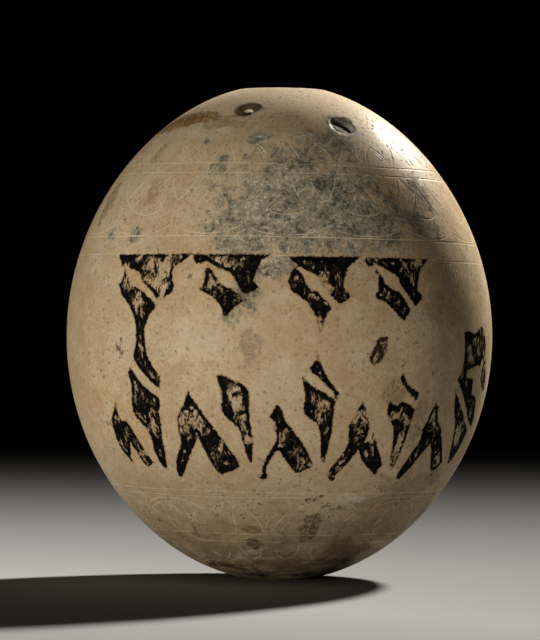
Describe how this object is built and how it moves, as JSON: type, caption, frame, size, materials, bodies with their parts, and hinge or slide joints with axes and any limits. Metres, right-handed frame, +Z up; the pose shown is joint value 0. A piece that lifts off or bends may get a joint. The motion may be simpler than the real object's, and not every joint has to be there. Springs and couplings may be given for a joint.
{
  "type": "ostrich egg",
  "caption": "Hollow ostrich eggshell vessel, open at its upper end, drilled beside the opening, with engraved bands and a black painted frieze.",
  "frame": {"origin": "middle of the small flat spot underneath, on the surface that the egg stands on", "axes": "+Z up along the egg's long axis, through the opening; -Y faces the viewer, with the pictured side of the picture band"},
  "size_m": [0.13, 0.13, 0.1493],
  "materials": {
    "eggshell": "polished, pored eggshell with worn black paint"
  },
  "bodies": {
    "root": {"egg_shell": "eggshell"}
  },
  "joints": []
}
